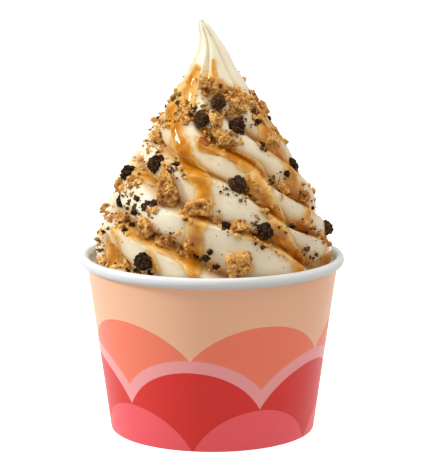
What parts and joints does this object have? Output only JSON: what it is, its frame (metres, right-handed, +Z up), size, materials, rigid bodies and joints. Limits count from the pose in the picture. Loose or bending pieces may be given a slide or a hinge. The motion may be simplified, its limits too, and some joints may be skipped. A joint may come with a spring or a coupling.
{
  "type": "soft serve cup",
  "caption": "Paper cup of twisted vanilla soft serve with caramel, biscuit chunks and chocolate cookie lumps.",
  "frame": {"origin": "centre of the cup's foot ring, on the surface that it stands on", "axes": "+Z up through the swirl's peak, -Y towards the side the picture shows, +X to that side's right"},
  "size_m": [0.097, 0.097, 0.1513],
  "materials": {
    "cup_paper": "coated paperboard, printed with soft waves of red, coral, pink and peach under a white rim",
    "vanilla_cream": "cold, dense cream with a soft sheen",
    "biscuit": "baked biscuit, golden brown and crumbly",
    "chocolate_cookie": "near-black cookie lump, dull and crumbly"
  },
  "bodies": {
    "root": {"biscuit_chunk_01": "biscuit", "biscuit_chunk_02": "biscuit", "biscuit_chunk_03": "biscuit", "biscuit_chunk_04": "biscuit", "biscuit_chunk_05": "biscuit", "biscuit_chunk_06": "biscuit", "biscuit_chunk_07": "biscuit", "biscuit_chunk_08": "biscuit", "biscuit_chunk_09": "biscuit", "biscuit_chunk_10": "biscuit", "biscuit_chunk_11": "biscuit", "biscuit_chunk_12": "biscuit", "biscuit_chunk_13": "biscuit", "biscuit_chunk_14": "biscuit", "biscuit_chunk_15": "biscuit", "biscuit_chunk_16": "biscuit", "cookie_lump_01": "chocolate_cookie", "cookie_lump_02": "chocolate_cookie", "cookie_lump_03": "chocolate_cookie", "cookie_lump_04": "chocolate_cookie", "cookie_lump_05": "chocolate_cookie", "cookie_lump_06": "chocolate_cookie", "cookie_lump_07": "chocolate_cookie", "cookie_lump_08": "chocolate_cookie", "cookie_lump_09": "chocolate_cookie", "cookie_lump_10": "chocolate_cookie", "cup_base": "cup_paper", "cup_wall": "cup_paper", "soft_serve": "vanilla_cream"}
  },
  "joints": []
}
